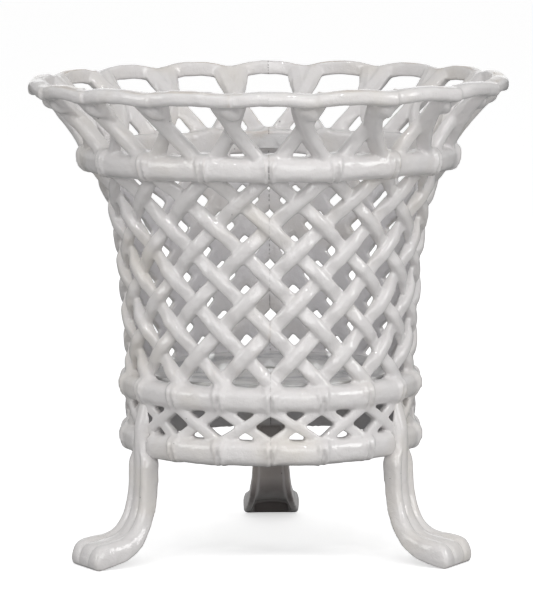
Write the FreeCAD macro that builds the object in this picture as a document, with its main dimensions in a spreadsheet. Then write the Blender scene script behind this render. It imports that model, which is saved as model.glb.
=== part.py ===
"""Lattice planter: a cast-iron basket-weave planter on three cabriole legs.

Two half shells are cast as a woven lattice with a border of crossing loops, three bamboo
rings and a low frieze. They meet at the front and the back, where straps are screwed across
the seam. Three cast legs are bolted on below, and a loose floor plate lies on lugs inside.
All lengths are millimetres. The planter stands on its toes at zero height, with its front
towards -Y.
"""
import FreeCAD, Part
import Sketcher
import math
import os

Vector = FreeCAD.Vector
doc = FreeCAD.newDocument("lattice_planter")
sheet = doc.addObject("Spreadsheet::Sheet", "sizes")

# Driving dimensions: name, value, what it is
SIZES = [
    ("unit_count", 18, "units around the planter, each with one loop and one window"),
    ("row_count", 8, "half pitches of the weave from the upper ring to the middle ring"),
    ("rim_radius", 209, "axis to the middle of the rim's cane"),
    ("rim_height", 423, "floor to the middle of the rim's cane at the top of a loop"),
    ("rim_cane", 13, "thickness of the rim's cane"),
    ("rim_dip", 4, "how far the arch of a loop comes down at its ends"),
    ("rim_overlap", 1.7, "how far an arch's right end stands out, and its left end in"),
    ("loop_cane", 12.4, "width of the canes that cross in the border"),
    ("loop_lift", 2.6, "how far a loop's front leg stands out, and its rear leg in"),
    ("web_thickness", 6, "flat web behind the legs where they part under the rim"),
    ("upper_ring_radius", 158.5, "axis to the middle of the upper ring"),
    ("upper_ring_height", 359.3, "floor to the middle of the upper ring"),
    ("upper_ring_rise", 12.2, "half the height of the upper ring"),
    ("upper_ring_bulge", 12.8, "how far the upper ring swells outward"),
    ("middle_ring_height", 152.8, "floor to the middle of the middle ring"),
    ("lower_ring_height", 106, "floor to the middle of the lower ring"),
    ("lower_ring_radius", 123, "axis to the middle of the two lower rings"),
    ("lower_ring_rise", 11.4, "half the height of the two lower rings"),
    ("lower_ring_bulge", 12.2, "how far the two lower rings swell outward"),
    ("inside_radius", 118.6, "axis to the flat inside of the two lower rings"),
    ("knot_length", 2.6, "half the length of the raised knot between two bamboo lengths"),
    ("knot_lift", 1.2, "how far a knot stands out from its ring"),
    ("wall_foot_radius", 128.8, "axis to the crown of the canes at the middle ring"),
    ("wall_lean", 12, "even spread of the wall from its foot to its top"),
    ("wall_flare", 20, "extra spread of the wall close to the upper ring"),
    ("wall_thickness", 9, "crown of a raised cane to the flat inside of the wall"),
    ("cane_crown", 7.4, "width of a cane's crown facet"),
    ("cane_width", 11.6, "width of a cane where another passes under it"),
    ("cane_foot", 14.4, "width of a cane at the flat inside of the wall"),
    ("cane_dip", 3.8, "crown of the upper cane to crown of the lower one at a crossing"),
    ("row_tuck", 8.3, "how far the first row of crossings lies below the upper ring's middle"),
    ("foot_tuck", 14.7, "how far the last row of crossings lies above the middle ring's middle"),
    ("frieze_radius", 129.2, "axis to the crown of the canes in the frieze"),
    ("frieze_crown", 6.5, "width of the crown facet of a cane in the frieze"),
    ("frieze_foot", 11, "width of a cane in the frieze at its back"),
    ("frieze_tuck", 3, "how deep the middle of a frieze cane lies in a ring where it meets a knot"),
    ("frieze_overrun", 6, "how far a cane in the frieze runs on inside the rings"),
    ("frieze_dip", 1.5, "how far the lower cane of a frieze crossing is set back"),
    ("lug_width", 24, "length of a floor lug along the wall"),
    ("lug_reach", 9, "how far a floor lug stands in from the wall"),
    ("lug_depth", 4, "height of a floor lug at its tip"),
    ("floor_top", 165.5, "floor to the top of the floor plate"),
    ("floor_thickness", 4, "thickness of the floor plate"),
    ("floor_seat_gap", 0.2, "gap between the floor plate and its lugs"),
    ("floor_radius", 115.6, "radius of the floor plate"),
    ("drain_radius", 7, "radius of the drain hole in the floor plate"),
    ("pad_depth", 3.8, "how far the cast pads inside the rings stand in"),
    ("pad_margin", 3, "how far a pad reaches past what is seated on it"),
    ("strap_length", 44, "length of a joint strap along the wall"),
    ("strap_height", 13, "height of a joint strap"),
    ("strap_thickness", 3, "thickness of a joint strap"),
    ("strap_corner", 4, "radius of a strap's corners"),
    ("screw_spacing", 26, "distance between the two screws of a strap"),
    ("screw_radius", 2.5, "shank of a strap's screw"),
    ("screw_hole_radius", 2.9, "hole in a strap for its screw"),
    ("screw_head_radius", 4.6, "head of a strap's screw"),
    ("screw_head_height", 2.2, "height of the head of a strap's screw"),
    ("screw_bite", 8, "how far a strap's screw reaches into its ring"),
    ("hole_gap", 0.4, "gap around a shank in a through hole"),
    ("tap_gap", 0.05, "gap around a shank in the hole that holds it"),
    ("leg_seat_radius", 126, "axis to the flat on the lower ring that carries a leg"),
    ("leg_width", 34, "width of a leg at its head"),
    ("leg_gap", 0.4, "gap beside and above a leg's head in its notch"),
    ("leg_crown_radius", 138.8, "axis to the crown of a leg below its head"),
    ("leg_channel_radius", 122.4, "axis to the open inside of a leg below its head"),
    ("tongue_height", 138, "floor to the tip of the tongue that a leg lays over the frieze"),
    ("toe_radius", 196, "axis to the tip of a foot"),
    ("foot_width", 57, "widest part of a foot"),
    ("bolt_radius", 3, "shank of a leg's bolt"),
    ("bolt_spacing", 17, "distance between the two bolts of a leg"),
    ("bolt_bite", 8, "how far a bolt reaches into a leg"),
    ("bolt_head_width", 10, "across the flats of a bolt's square head"),
    ("bolt_head_height", 4, "height of a bolt's head"),
]
for line, (name, value, note) in enumerate(SIZES, start=1):
    sheet.set(f"A{line}", name)
    sheet.set(f"B{line}", str(value))
    sheet.set(f"C{line}", note)
    sheet.setAlias(f"B{line}", name)
doc.recompute()


def size(name):
    return float(getattr(sheet, name))


UNITS = int(size("unit_count"))
HALF_UNITS = UNITS // 2
ROWS = int(size("row_count"))
PITCH = 360.0 / UNITS
LATTICE_TOP = size("upper_ring_height") - size("row_tuck")
LATTICE_FOOT = size("middle_ring_height") + size("foot_tuck")
ROW_STEP = (LATTICE_TOP - LATTICE_FOOT) / ROWS
RIGHT, LEFT = 1, -1


def at(radius, angle, height):
    """Point at an angle in degrees from the front, turning towards the right."""
    turn = math.radians(angle)
    return Vector(radius * math.sin(turn), -radius * math.cos(turn), height)


def turned(shape, angle):
    copy = shape.copy()
    copy.rotate(Vector(0, 0, 0), Vector(0, 0, 1), angle)
    return copy


def closed_solid(facets):
    """Solid whose skin is the given flat facets, each a list of corners."""
    faces = [Part.Face(Part.makePolygon(list(facet) + [facet[0]])) for facet in facets]
    skin = Part.makeShell(faces)
    skin.sewShape()
    solid = Part.Solid(skin)
    if solid.Volume < 0:
        solid.reverse()
    return solid


def triangles(corners):
    """Splits a slightly twisted polygon into triangles that fan out from its first corner."""
    return [[corners[0], corners[step], corners[step + 1]]
            for step in range(1, len(corners) - 1)]


def faceted_bar(sections):
    """Solid through a row of flat polygons that all have the same number of corners."""
    facets = [sections[0], sections[-1]]
    count = len(sections[0])
    for near, far in zip(sections, sections[1:]):
        for here in range(count):
            after = (here + 1) % count
            facets += triangles([near[here], near[after], far[after], far[here]])
    return closed_solid(facets)


def cane_section(centre, ahead, outward, crown, foot, depth):
    """Section of a cane: a crown facet, two leaning sides and a wider flat back."""
    along = Vector(ahead).normalize()
    side = along.cross(outward).normalize()
    out = side.cross(along).normalize()
    outline = [(-foot / 2, -depth), (foot / 2, -depth), (crown / 2, 0), (-crown / 2, 0)]
    return [centre + side * across + out * up for across, up in outline]


# Weave
# A weave lies on a surface with rows down it and columns across it. A cane that falls to
# the right gains a column with each row, and one that falls to the left loses one, so they
# cross where row and column are both even or both odd. The upper cane changes every row.


def upper_hand(row, first_hand):
    return first_hand if row % 2 == 0 else -first_hand


def crossing(surface, row, column):
    """Returns the function that places a point near one crossing.

    It takes the distance along the cane that falls right, the distance along the one that
    falls left, each measured square to the other cane, and the depth below the crown.
    """
    step = 0.01
    right = surface(row + step, column + step, 0) - surface(row - step, column - step, 0)
    left = surface(row + step, column - step, 0) - surface(row - step, column + step, 0)
    slant = right.cross(left).Length / right.Length / left.Length
    span = slant * (right.Length + left.Length) / 4 / step

    def point(along_right, along_left, depth):
        falls_right = along_right / span
        falls_left = along_left / span
        return surface(row + falls_right + falls_left, column + falls_right - falls_left, depth)

    return point


def cane_end(surface, row, column, hand, way, first_hand, cane):
    """Corners of a cane at each side where it leaves a crossing, from its back upward.

    The cane that passes under ends at the flank of the other, a dip below the crown.
    """
    point = crossing(surface, row, column)
    crown, shoulder, foot, dip, depth = cane

    def corner(along, beside, down):
        return point(along, beside, down) if hand == RIGHT else point(beside, along, down)

    tracks = []
    for side in (1, -1):
        track = [corner(way * foot, side * foot, depth)]
        if upper_hand(row, first_hand) == hand:
            track += [corner(way * crown, side * shoulder, dip), corner(0, side * crown, 0)]
        else:
            track += [corner(way * shoulder, side * crown, dip)]
        tracks.append(track)
    return tracks


def cane_span(surface, row, column, hand, first_hand, cane):
    """Facets of a cane from one crossing down to the next one."""
    upper = cane_end(surface, row, column, hand, 1, first_hand, cane)
    lower = cane_end(surface, row + 1, column + hand, hand, -1, first_hand, cane)
    facets = triangles([upper[0][-1], upper[1][-1], lower[1][-1], lower[0][-1]])
    facets += triangles([upper[0][0], upper[1][0], lower[1][0], lower[0][0]])
    for near, far in zip(upper, lower):
        if len(near) < len(far):
            near, far = far, near
        facets += triangles([near[1], near[0], far[0], far[1], near[2]])
    return facets


def cane_stub(surface, row, column, hand, way, first_hand, cane):
    """Facets of half a span with its closed end, where the weave stops short of a crossing."""
    near = cane_end(surface, row, column, hand, way, first_hand, cane)
    far = cane_end(surface, row + way, column + way * hand, hand, -way, first_hand, cane)
    facets = []
    ends = []
    for start, finish in zip(near, far):
        back = (start[0] + finish[0]) / 2
        crown = (start[-1] + finish[-1]) / 2
        ends.append([back, crown])
        facets += triangles([start[1], start[0], back, crown] + start[2:])
    facets += triangles([near[0][-1], near[1][-1], ends[1][-1], ends[0][-1]])
    facets += triangles([near[0][0], near[1][0], ends[1][0], ends[0][0]])
    return facets + triangles(ends[0] + ends[1][::-1])


def crossing_facets(surface, row, column, first_hand, cane):
    """Facets of the crossing itself: its flat back and the flanks of the upper cane."""
    point = crossing(surface, row, column)
    crown, shoulder, foot, dip, depth = cane
    facets = triangles([point(foot, foot, depth), point(foot, -foot, depth),
                        point(-foot, -foot, depth), point(-foot, foot, depth)])
    for side in (1, -1):
        flank = [(0, side * crown, 0), (crown, side * shoulder, dip),
                 (-crown, side * shoulder, dip)]
        if upper_hand(row, first_hand) == RIGHT:
            facets.append([point(along, beside, down) for along, beside, down in flank])
        else:
            facets.append([point(beside, along, down) for along, beside, down in flank])
    return facets


def woven_solid(surface, places, first_hand, cane):
    """One solid of all the canes that meet at the given crossings."""
    facets = []
    for row, column in places:
        facets += crossing_facets(surface, row, column, first_hand, cane)
        for hand in (RIGHT, LEFT):
            if (row + 1, column + hand) in places:
                facets += cane_span(surface, row, column, hand, first_hand, cane)
            else:
                facets += cane_stub(surface, row, column, hand, 1, first_hand, cane)
            if (row - 1, column - hand) not in places:
                facets += cane_stub(surface, row, column, hand, -1, first_hand, cane)
    return closed_solid(facets)


# Wall of the basket

WALL_BEND = 5


def wall_radius(height):
    """Crown radius of the wall: an even lean plus a flare that grows near the top."""
    rise = min((height - LATTICE_FOOT) / (LATTICE_TOP - LATTICE_FOOT), 1)
    flare = size("wall_flare") * max(rise, 0) ** WALL_BEND
    return size("wall_foot_radius") + size("wall_lean") * rise + flare


def wall_surface(row, column, depth):
    height = LATTICE_TOP - ROW_STEP * row
    return at(wall_radius(height) - depth, column * PITCH / 2, height)


def wall_weave():
    """Half the wall, a little past the seam at each end."""
    cane = (size("cane_crown") / 2, size("cane_width") / 2, size("cane_foot") / 2,
            size("cane_dip"), size("wall_thickness"))
    places = [(row, column) for row in range(ROWS + 1) for column in range(UNITS + 1)
              if (row + column) % 2 == 0]
    return woven_solid(wall_surface, places, RIGHT, cane)


# Bamboo rings

# Rounded outside of a ring: share of its bulge, share of its rise
RING_SHARES = [(0.55, 1), (1, 0.4), (1, -0.4), (0.55, -1)]


def ring_section(radius, height, rise, bulge, inside, angle, lift):
    """Section of a ring: flat inside, rounded outside, with a lift where a knot stands."""
    outline = [at(inside, angle, height - rise), at(inside, angle, height + rise)]
    for out_share, up_share in RING_SHARES:
        outline.append(at(radius + bulge * out_share + lift, angle, height + rise * up_share))
    return outline


def bamboo_ring(radius, height, rise, bulge, inside):
    """Half a ring of bamboo lengths, with half a knot at each end of every length."""
    knot = math.degrees(size("knot_length") / radius)
    lift = size("knot_lift")
    stations = [(0, lift)]
    for unit in range(HALF_UNITS):
        first = unit * PITCH
        last = first + PITCH
        stations += [(first + knot, 0), (last - knot, 0), (last, lift)]
    return faceted_bar([ring_section(radius, height, rise, bulge, inside, angle, station_lift)
                        for angle, station_lift in stations])


UPPER_INSIDE = size("upper_ring_radius") - size("wall_thickness")


def three_rings():
    low = [size("lower_ring_rise"), size("lower_ring_bulge"), size("inside_radius")]
    return [
        bamboo_ring(size("upper_ring_radius"), size("upper_ring_height"),
                    size("upper_ring_rise"), size("upper_ring_bulge"), UPPER_INSIDE),
        bamboo_ring(size("lower_ring_radius"), size("middle_ring_height"), *low),
        bamboo_ring(size("lower_ring_radius"), size("lower_ring_height"), *low)]


# Frieze between the two lower rings


def frieze_cane(knot, hand, setback):
    """Straight cane from under a knot of the middle ring to the next knot of the lower one."""
    radius = size("frieze_radius")
    edge = size("lower_ring_rise") - size("frieze_tuck")
    top = at(radius, knot * PITCH, size("middle_ring_height") - edge)
    foot = at(radius, (knot + hand) * PITCH, size("lower_ring_height") + edge)
    overrun = (top - foot).normalize() * size("frieze_overrun")
    top, foot = top + overrun, foot - overrun
    outward = at(1, (knot + hand / 2) * PITCH, 0)
    depth = size("wall_thickness") - setback
    return faceted_bar([
        cane_section(end - outward * setback, foot - top, outward,
                     size("frieze_crown"), size("frieze_foot"), depth)
        for end in (top, foot)])


def frieze_canes():
    falling_right = [frieze_cane(knot, RIGHT, 0) for knot in range(HALF_UNITS)]
    falling_left = [frieze_cane(knot, LEFT, size("frieze_dip"))
                    for knot in range(1, HALF_UNITS + 1)]
    return falling_right + falling_left


# Border of crossing loops

# Half the arch of a loop, from its middle to its end: share of a unit turned, share of the
# dip, and share of the overlap with the next arch
ARCH_SHARES = [(0.00, 0.0, 0.0), (0.26, 0.0, 0.1), (0.42, 0.6, 0.7), (0.56, 1.0, 1.0)]
# Leg of a loop, from inside the arch down to the upper ring: share of a unit turned, share
# of the climb, share of the flare, and share of the lift at the crossing
LOOP_SHARES = [
    (0.360, 0.970, 0.960, 0.0),
    (0.430, 0.760, 0.760, 0.6),
    (0.500, 0.610, 0.540, 1.0),
    (0.630, 0.400, 0.280, 0.8),
    (0.950, 0.000, 0.000, 0.0),
]
# Web between the two legs that part above a crossing: share of the climb, share of the
# flare, and width as a share of the canes' width
WEB_SHARES = [(0.56, 0.48, 0.4), (0.76, 0.76, 1.3), (0.95, 0.94, 2.0)]
LOOP_CROWN_SHARE = 0.62
LOOP_BACK_SHARE = 1.12
LOOP_RISE = size("rim_height") - size("upper_ring_height")
LANDING = size("upper_ring_radius") + size("loop_cane") / 4


def flare_radius(flare):
    return LANDING + (size("rim_radius") - LANDING) * flare


def loop_cane_section(line, step, angle, width):
    """Section of a border cane at one point of the line that its middle follows."""
    ahead = line[min(step + 1, len(line) - 1)] - line[max(step - 1, 0)]
    outward = at(1, angle, 0)
    return cane_section(line[step] + outward * width / 2, ahead, outward,
                        width * LOOP_CROWN_SHARE, width * LOOP_BACK_SHARE, width)


def rim_arch(start):
    """Arch of a loop. Its right end lies over the next arch, its left end behind."""
    stations = [(-turn, dip, -stand) for turn, dip, stand in ARCH_SHARES[:0:-1]] + ARCH_SHARES
    angles = [start + turn * PITCH for turn, dip, stand in stations]
    line = [at(size("rim_radius") + size("rim_overlap") * stand, angle,
               size("rim_height") - size("rim_dip") * dip)
            for angle, (turn, dip, stand) in zip(angles, stations)]
    return faceted_bar([loop_cane_section(line, step, angle, size("rim_cane"))
                        for step, angle in enumerate(angles)])


def loop_leg(start, hand):
    """Leg of a loop. The one that falls to the right passes in front."""
    angles = [start + hand * turn * PITCH for turn, climb, flare, lift in LOOP_SHARES]
    line = [at(flare_radius(flare) + size("loop_lift") * lift * hand, angle,
               size("upper_ring_height") + LOOP_RISE * climb)
            for angle, (turn, climb, flare, lift) in zip(angles, LOOP_SHARES)]
    return faceted_bar([loop_cane_section(line, step, angle, size("loop_cane"))
                        for step, angle in enumerate(angles)])


def post_web(angle):
    """Flat web that fills the fork between two legs from their crossing to the rim."""
    line = [at(flare_radius(flare), angle, size("upper_ring_height") + LOOP_RISE * climb)
            for climb, flare, width in WEB_SHARES]
    sections = []
    for step, (climb, flare, width) in enumerate(WEB_SHARES):
        ahead = line[min(step + 1, 2)] - line[max(step - 1, 0)]
        sections.append(cane_section(line[step], ahead, at(1, angle, 0),
                                     size("loop_cane") * width,
                                     size("loop_cane") * width, size("web_thickness")))
    return faceted_bar(sections)


def border():
    """Arches, legs and webs of the right half, a little past the seam at each end."""
    pieces = []
    for unit in range(-1, HALF_UNITS + 2):
        pieces += [rim_arch(unit * PITCH), loop_leg(unit * PITCH, RIGHT),
                   loop_leg(unit * PITCH, LEFT)]
    return pieces + [post_web((unit + 0.5) * PITCH) for unit in range(-1, HALF_UNITS + 1)]


# Lugs and pads inside the casting


def block(near, far, width, low, high, angle):
    """Box that faces outward at an angle, from one distance of the axis to another."""
    box = Part.makeBox(width, far - near, high - low, Vector(-width / 2, -far, low))
    return turned(box, angle)


def floor_lug(angle):
    """Lug under the floor plate, with a sloping underside."""
    top = size("floor_top") - size("floor_thickness") - size("floor_seat_gap")
    wall = size("inside_radius") + size("lug_depth") / 2
    tip = size("inside_radius") - size("lug_reach")
    half = size("lug_width") / 2
    side = [Vector(-half, -wall, top), Vector(-half, -tip, top),
            Vector(-half, -tip, top - size("lug_depth")),
            Vector(-half, -wall, top - size("lug_depth") * 2)]
    face = Part.Face(Part.makePolygon(side + [side[0]]))
    return turned(face.extrude(Vector(size("lug_width"), 0, 0)), angle)


STRAP_PAD_WIDTH = size("strap_length") + 2 * size("pad_margin")
BOLT_PAD_WIDTH = size("bolt_spacing") + size("bolt_head_width") + 2 * size("pad_margin")
PAD_RISE = size("strap_height") / 2 + size("pad_margin")


def ring_pad(inside, height, width, angle):
    """Cast pad with a flat face for a strap or for the heads of two bolts."""
    return block(inside - size("pad_depth"), inside + size("pad_depth"), width,
                 height - PAD_RISE, height + PAD_RISE, angle)


LEG_ANGLES = {"front_left": -60, "front_right": 60, "back": 180}


def lower_pads():
    """Pads in the lower ring: one at the front seam and one behind each leg."""
    inside = size("inside_radius")
    height = size("lower_ring_height")
    pads = [ring_pad(inside, height, STRAP_PAD_WIDTH, 0)]
    for angle in LEG_ANGLES.values():
        pads.append(ring_pad(inside, height, BOLT_PAD_WIDTH, angle))
    return pads


# Two half shells


def side_box(hand):
    reach = 2 * size("rim_radius")
    corner = Vector(0 if hand == RIGHT else -reach, -reach, 0)
    return Part.makeBox(reach, 2 * reach, 2 * reach, corner)


def bare_casting():
    """Right half of the casting before its leg seats, pads and holes are made."""
    lugs = [floor_lug(angle) for angle in (30, 90, 150)]
    pads = [ring_pad(UPPER_INSIDE, size("upper_ring_height"), STRAP_PAD_WIDTH, angle)
            for angle in (0, 180)]
    casting = wall_weave().multiFuse(three_rings() + frieze_canes() + border() + lugs + pads)
    return casting.common(side_box(RIGHT))


def radial_hole(radius, near, far, across, height, angle):
    """Round cutter that points outward at an angle, set to one side of that direction."""
    cutter = Part.makeCylinder(radius, far - near, Vector(across, -near, height),
                               Vector(0, -1, 0))
    return turned(cutter, angle)


def strap_hole_cutters(inside, height, angle):
    """Holes that hold the two screws of a strap."""
    near = inside - 2 * size("pad_depth")
    far = inside - size("pad_depth") + size("screw_bite")
    return [radial_hole(size("screw_radius") + size("tap_gap"), near, far,
                        side * size("screw_spacing") / 2, height, angle) for side in (-1, 1)]


def leg_cutters(angle):
    """Notch that seats a leg's head, and its two bolt holes."""
    low = size("lower_ring_height") - size("lower_ring_rise") * 2
    high = size("lower_ring_height") + size("lower_ring_rise") + size("leg_gap")
    notch = block(size("leg_seat_radius"), size("leg_crown_radius") * 2,
                  size("leg_width") + 2 * size("leg_gap"), low, high, angle)
    near = size("inside_radius") - 2 * size("pad_depth")
    holes = [radial_hole(size("bolt_radius") + size("hole_gap"), near,
                         size("leg_crown_radius"), side * size("bolt_spacing") / 2,
                         size("lower_ring_height"), angle) for side in (-1, 1)]
    return [notch] + holes


def half_shell(bare, hand):
    """Half shell with its pads, leg seats and holes. The left one is the right one turned."""
    casting = bare if hand == RIGHT else turned(bare, 180)
    pads = [pad.common(side_box(hand)) for pad in lower_pads()]
    pads = [pad for pad in pads if pad.Volume > 0]
    cutters = []
    for angle in LEG_ANGLES.values():
        cutters += leg_cutters(angle)
    for angle in (0, 180):
        cutters += strap_hole_cutters(UPPER_INSIDE, size("upper_ring_height"), angle)
    cutters += strap_hole_cutters(size("inside_radius"), size("lower_ring_height"), 0)
    return casting.multiFuse(pads).cut(Part.makeCompound(cutters))


def feature(label, shape):
    result = doc.addObject("Part::Feature", label)
    result.Label = label
    result.Shape = shape.Solids[0] if len(shape.Solids) == 1 else shape
    return result


bare = bare_casting()
nodes = [feature("right_shell", half_shell(bare, RIGHT)),
         feature("left_shell", half_shell(bare, LEFT))]


# Legs

# Section of a leg: share of its half width, and share of its depth from crown to channel
LEG_SECTION_SHARES = [
    (-1, 1), (-1, 0.3), (-0.6, 0), (-0.18, 0.15), (0.18, 0.15), (0.6, 0), (1, 0.3), (1, 1),
    (0.64, 1), (0.58, 0.5), (-0.58, 0.5), (-0.64, 1)]
LEG_SOLID_SHARES = LEG_SECTION_SHARES[:8]
# Side view of a leg from under the ring to the toe. Radii are shares of the way from the
# leg's seat to its toe, heights are shares of the height of the ring's underside: crown
# radius, crown height, channel radius, channel height, and share of the widening
LEG_SIDE_SHARES = [
    (0.186, 0.870, -0.046, 0.870, 0.00),
    (0.208, 0.700, -0.034, 0.680, 0.04),
    (0.257, 0.554, -0.014, 0.503, 0.12),
    (0.329, 0.436, 0.043, 0.349, 0.26),
    (0.443, 0.354, 0.143, 0.215, 0.43),
    (0.600, 0.316, 0.300, 0.113, 0.70),
    (0.771, 0.303, 0.529, 0.036, 0.91),
    (0.900, 0.272, 0.714, 0.000, 1.00),
    (0.979, 0.195, 0.886, 0.000, 0.87),
    (1.000, 0.092, 0.950, 0.015, 0.43),
]
# Head and tongue above the ring's underside: crown setback as a share of the tongue's
# rise, and share of the head's width
TONGUE_BASE_SHARE = 0.66
TONGUE_TIP_SHARE = 0.2
TONGUE_SETBACK_SHARE = 0.24


def leg_section(crown, channel, width, shares):
    """Flat section from a crown point to a channel point, each a radius and a height."""
    outline = []
    for across, depth in shares:
        radius = crown[0] + (channel[0] - crown[0]) * depth
        height = crown[1] + (channel[1] - crown[1]) * depth
        outline.append(Vector(across * width / 2, -radius, height))
    return outline


def leg_shape():
    """Leg that points to the front: an open channel below, a solid head and a tongue."""
    seat = size("leg_seat_radius")
    crown = size("leg_crown_radius")
    width = size("leg_width")
    ring_foot = size("lower_ring_height") - size("lower_ring_rise")
    ring_top = size("lower_ring_height") + size("lower_ring_rise")
    under = ring_foot - size("leg_gap") / 2
    reach = size("toe_radius") - seat
    channel = [leg_section((crown, under), (size("leg_channel_radius"), under), width,
                           LEG_SECTION_SHARES)]
    for out, up, inner_out, inner_up, spread in LEG_SIDE_SHARES:
        channel.append(leg_section(
            (seat + reach * out, ring_foot * up),
            (seat + reach * inner_out, ring_foot * inner_up),
            width + (size("foot_width") - width) * spread, LEG_SECTION_SHARES))
    rise = size("tongue_height") - ring_top
    back = size("frieze_radius") + size("leg_gap")
    head = [leg_section((crown, under - size("leg_gap")), (seat, under - size("leg_gap")),
                        width, LEG_SOLID_SHARES),
            leg_section((crown, ring_top), (seat, ring_top), width, LEG_SOLID_SHARES)]
    tongue = [leg_section((crown, ring_foot), (back, ring_foot), width * TONGUE_BASE_SHARE,
                          LEG_SOLID_SHARES),
              leg_section((crown, ring_top), (back, ring_top), width * TONGUE_BASE_SHARE,
                          LEG_SOLID_SHARES),
              leg_section((crown - rise * TONGUE_SETBACK_SHARE, ring_top + rise),
                          (back, ring_top + rise), width * TONGUE_TIP_SHARE,
                          LEG_SOLID_SHARES)]
    leg = faceted_bar(channel).multiFuse([faceted_bar(head), faceted_bar(tongue)])
    taps = [radial_hole(size("bolt_radius") + size("tap_gap"), seat - size("bolt_bite"),
                        seat + size("bolt_bite"), side * size("bolt_spacing") / 2,
                        size("lower_ring_height"), 0) for side in (-1, 1)]
    return leg.cut(Part.makeCompound(taps))


leg = leg_shape()
for place, angle in LEG_ANGLES.items():
    node = feature(f"{place}_leg", leg)
    node.Placement = FreeCAD.Placement(Vector(0, 0, 0), FreeCAD.Rotation(Vector(0, 0, 1), angle))
    nodes.append(node)


# Pieces made from sketches


def new_body(label):
    body = doc.addObject("PartDesign::Body", label)
    body.Label = label
    nodes.append(body)
    return body


def origin_plane(body, role):
    return next(item for item in body.Origin.OriginFeatures if item.Role == role)


def new_sketch(body, name):
    sketch = body.newObject("Sketcher::SketchObject", name)
    sketch.AttachmentSupport = [(origin_plane(body, "XY_Plane"), "")]
    sketch.MapMode = "FlatFace"
    return sketch


def tie(sketch, constraint, expression):
    index = sketch.addConstraint(constraint)
    sketch.setExpression(f"Constraints[{index}]", expression)


def draw_circle(sketch, radius, across=None):
    """Circle at the origin, or set off along X. The sizes are names in the sheet."""
    offset = size(across) / 2 if across else 0
    circle = Part.Circle(Vector(offset, 0, 0), Vector(0, 0, 1), size(radius))
    index = sketch.addGeometry(circle, False)
    tie(sketch, Sketcher.Constraint("Radius", index, size(radius)), f"sizes.{radius}")
    if across:
        sketch.addConstraint(Sketcher.Constraint("PointOnObject", index, 3, -1))
        tie(sketch, Sketcher.Constraint("DistanceX", -1, 1, index, 3, offset),
            f"sizes.{across} / 2")
    else:
        sketch.addConstraint(Sketcher.Constraint("Coincident", index, 3, -1, 1))


def draw_rectangle(sketch, width, height, across=None):
    """Rectangle round the origin, or set off along X. The sizes are names in the sheet."""
    offset = size(across) / 2 if across else 0
    left = offset - size(width) / 2
    right = offset + size(width) / 2
    top = size(height) / 2
    corners = [Vector(left, -top, 0), Vector(right, -top, 0), Vector(right, top, 0),
               Vector(left, top, 0)]
    first = sketch.GeometryCount
    for here, after in zip(corners, corners[1:] + corners[:1]):
        sketch.addGeometry(Part.LineSegment(here, after), False)
    for side in range(4):
        sketch.addConstraint(Sketcher.Constraint(
            "Coincident", first + side, 2, first + (side + 1) % 4, 1))
        direction = "Horizontal" if side % 2 == 0 else "Vertical"
        sketch.addConstraint(Sketcher.Constraint(direction, first + side))
    middle = f"sizes.{across} / 2" if across else "0"
    tie(sketch, Sketcher.Constraint("DistanceX", -1, 1, first, 2, right),
        f"{middle} + sizes.{width} / 2")
    tie(sketch, Sketcher.Constraint("DistanceX", first, 1, first, 2, right - left),
        f"sizes.{width}")
    tie(sketch, Sketcher.Constraint("DistanceY", first + 1, 1, -1, 1, top),
        f"sizes.{height} / 2")
    tie(sketch, Sketcher.Constraint("DistanceY", first + 1, 1, first + 1, 2, top * 2),
        f"sizes.{height}")


def raise_pad(body, sketch, name, length, inward=False):
    """Pad of a sketch by a length that is an expression of the sheet."""
    pad = body.newObject("PartDesign::Pad", name)
    pad.Profile = sketch
    pad.Reversed = inward
    pad.setExpression("Length", length)
    doc.recompute()
    return pad


def mirror_all(body, features):
    """Second piece of a pair, mirrored to the other side of the seam."""
    pair = body.newObject("PartDesign::Mirrored", "Pair")
    pair.Originals = features
    pair.MirrorPlane = (origin_plane(body, "YZ_Plane"), [""])
    body.Tip = pair
    doc.recompute()


def face_outward(body, radius, angle, height):
    """Sets a body at a distance of the axis, with its Z axis pointing outward."""
    upright = FreeCAD.Rotation(Vector(1, 0, 0), 90)
    turn = FreeCAD.Rotation(Vector(0, 0, 1), angle)
    body.Placement = FreeCAD.Placement(at(radius, angle, height), turn.multiply(upright))


def joint_strap(label, inside, angle, height):
    """Flat strap across a seam, with its two screws as the next node."""
    face = inside - size("pad_depth") - size("strap_thickness")
    strap = new_body(label)
    outline = new_sketch(strap, "Outline")
    draw_rectangle(outline, "strap_length", "strap_height")
    plate = raise_pad(strap, outline, "Plate", "sizes.strap_thickness")
    corners = [f"Edge{index}" for index, edge in enumerate(plate.Shape.Edges, start=1)
               if abs(edge.tangentAt(edge.FirstParameter).z) == 1]
    rounding = strap.newObject("PartDesign::Fillet", "Corners")
    rounding.Base = (plate, corners)
    rounding.setExpression("Radius", "sizes.strap_corner")
    doc.recompute()
    hole_sketch = new_sketch(strap, "HoleCircle")
    draw_circle(hole_sketch, "screw_hole_radius", "screw_spacing")
    hole = strap.newObject("PartDesign::Pocket", "ScrewHole")
    hole.Profile = hole_sketch
    hole.Reversed = True
    hole.setExpression("Length", "sizes.strap_thickness")
    doc.recompute()
    mirror_all(strap, [hole])
    face_outward(strap, face, angle, height)

    screws = new_body(f"{label}_screws")
    shank_sketch = new_sketch(screws, "ShankCircle")
    draw_circle(shank_sketch, "screw_radius", "screw_spacing")
    shank = raise_pad(screws, shank_sketch, "Shank",
                      "sizes.strap_thickness + sizes.screw_bite - sizes.hole_gap")
    head_sketch = new_sketch(screws, "HeadCircle")
    draw_circle(head_sketch, "screw_head_radius", "screw_spacing")
    head = raise_pad(screws, head_sketch, "Head", "sizes.screw_head_height", inward=True)
    mirror_all(screws, [shank, head])
    face_outward(screws, face, angle, height)


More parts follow.
